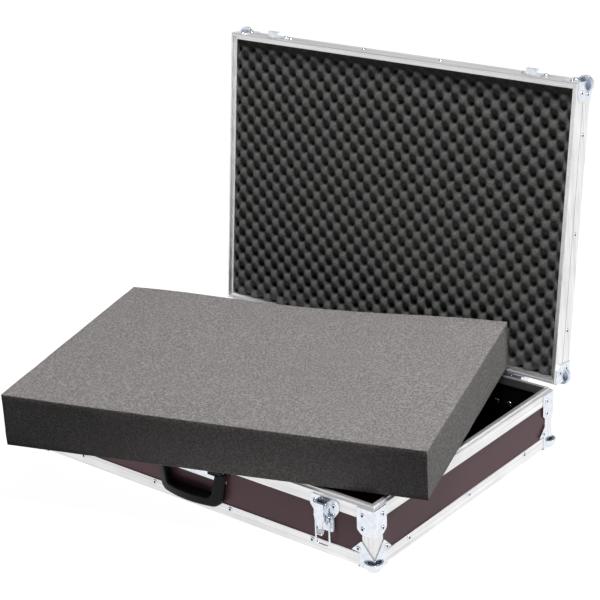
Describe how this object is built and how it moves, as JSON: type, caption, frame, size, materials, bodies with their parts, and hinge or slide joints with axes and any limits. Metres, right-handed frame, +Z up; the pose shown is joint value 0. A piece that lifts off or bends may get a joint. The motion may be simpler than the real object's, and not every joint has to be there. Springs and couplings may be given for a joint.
{
  "type": "transport case",
  "caption": "Shallow aluminium-edged plywood transport case standing open, with draw latches, a folding handle, ball corners, an egg-crate foam lid lining and a loose foam insert.",
  "frame": {"origin": "centre of the floor board's underside", "axes": "+X along the case's length to the right, -Y out of the front with the latches, +Z up"},
  "size_m": [0.7234, 0.6893, 0.557],
  "materials": {
    "plywood": "satin phenolic film",
    "aluminium_profile": "satin",
    "zinc_steel": "bright zinc",
    "steel_pin": "turned",
    "black_plastic": "satin",
    "lining_foam": "open-cell foam",
    "insert_foam": "cut foam"
  },
  "bodies": {
    "base": {"base_ball_corners": "zinc_steel", "base_edge_front": "aluminium_profile", "base_edge_left": "aluminium_profile", "base_edge_rear": "aluminium_profile", "base_edge_right": "aluminium_profile", "base_floor": "plywood", "base_front_wall": "plywood", "base_left_wall": "plywood", "base_rear_wall": "plywood", "base_right_wall": "plywood", "base_rim_front": "aluminium_profile", "base_rim_left": "aluminium_profile", "base_rim_rear": "aluminium_profile", "base_rim_right": "aluminium_profile", "corner_angle_front_left": "aluminium_profile", "corner_angle_front_right": "aluminium_profile", "corner_angle_rear_left": "aluminium_profile", "corner_angle_rear_right": "aluminium_profile", "corner_braces": "zinc_steel", "handle_brackets": "black_plastic", "handle_pins": "steel_pin", "handle_plate": "zinc_steel", "hinge_base_leaves": "zinc_steel", "hinge_pins": "steel_pin", "latch_lever_pins": "steel_pin", "latch_plates": "zinc_steel"},
    "lid": {"hinge_lid_leaves": "zinc_steel", "latch_keepers": "zinc_steel", "lid_ball_corners": "zinc_steel", "lid_edge_front": "aluminium_profile", "lid_edge_left": "aluminium_profile", "lid_edge_rear": "aluminium_profile", "lid_edge_right": "aluminium_profile", "lid_foam": "lining_foam", "lid_panel": "plywood", "lid_rim_front": "aluminium_profile", "lid_rim_left": "aluminium_profile", "lid_rim_rear": "aluminium_profile", "lid_rim_right": "aluminium_profile", "lid_wall_strips": "plywood"},
    "insert": {"foam_insert": "insert_foam"},
    "handle": {"handle_grip": "black_plastic"},
    "lever_left": {"latch_lever_left": "zinc_steel"},
    "trunnion_left": {"latch_trunnion_left": "steel_pin"},
    "bail_left": {"latch_bail_left": "zinc_steel"},
    "lever_right": {"latch_lever_right": "zinc_steel"},
    "trunnion_right": {"latch_trunnion_right": "steel_pin"},
    "bail_right": {"latch_bail_right": "zinc_steel"}
  },
  "joints": [
    {"name": "lid_hinge", "type": "hinge", "parent": "base", "child": "lid", "pos_m": [0, 0.2295, 0.08865], "axis": [1, 0, 0], "range_deg": [0, 95.7]},
    {"name": "insert_lift", "type": "slide", "parent": "base", "child": "insert", "axis": [0, -0.9397, 0.342], "range_m": [0, 0.67]},
    {"name": "handle_swing", "type": "hinge", "parent": "base", "child": "handle", "pos_m": [0, -0.2339, 0.0715], "axis": [-1, 0, 0], "range_deg": [0, 90]},
    {"name": "lever_left_swing", "type": "hinge", "parent": "base", "child": "lever_left", "pos_m": [-0.24, -0.233, 0.0755], "axis": [-1, 0, 0], "range_deg": [0, 100]},
    {"name": "trunnion_left_turn", "type": "hinge", "parent": "lever_left", "child": "trunnion_left", "pos_m": [-0.24, -0.2315, 0.0575], "axis": [-1, 0, 0], "range_deg": [-100, 0]},
    {"name": "bail_left_swing", "type": "hinge", "parent": "trunnion_left", "child": "bail_left", "pos_m": [-0.24, -0.2315, 0.0575], "axis": [-1, 0, 0], "range_deg": [0, 100]},
    {"name": "lever_right_swing", "type": "hinge", "parent": "base", "child": "lever_right", "pos_m": [0.24, -0.233, 0.0755], "axis": [-1, 0, 0], "range_deg": [0, 100]},
    {"name": "trunnion_right_turn", "type": "hinge", "parent": "lever_right", "child": "trunnion_right", "pos_m": [0.24, -0.2315, 0.0575], "axis": [-1, 0, 0], "range_deg": [-100, 0]},
    {"name": "bail_right_swing", "type": "hinge", "parent": "trunnion_right", "child": "bail_right", "pos_m": [0.24, -0.2315, 0.0575], "axis": [-1, 0, 0], "range_deg": [0, 180]}
  ],
  "couplings": [
    {"joint": "insert_lift", "follows": "lid_hinge", "m_per_rad": 0.40109},
    {"joint": "trunnion_left_turn", "follows": "lever_left_swing", "ratio": -1},
    {"joint": "trunnion_right_turn", "follows": "lever_right_swing", "ratio": -1}
  ]
}
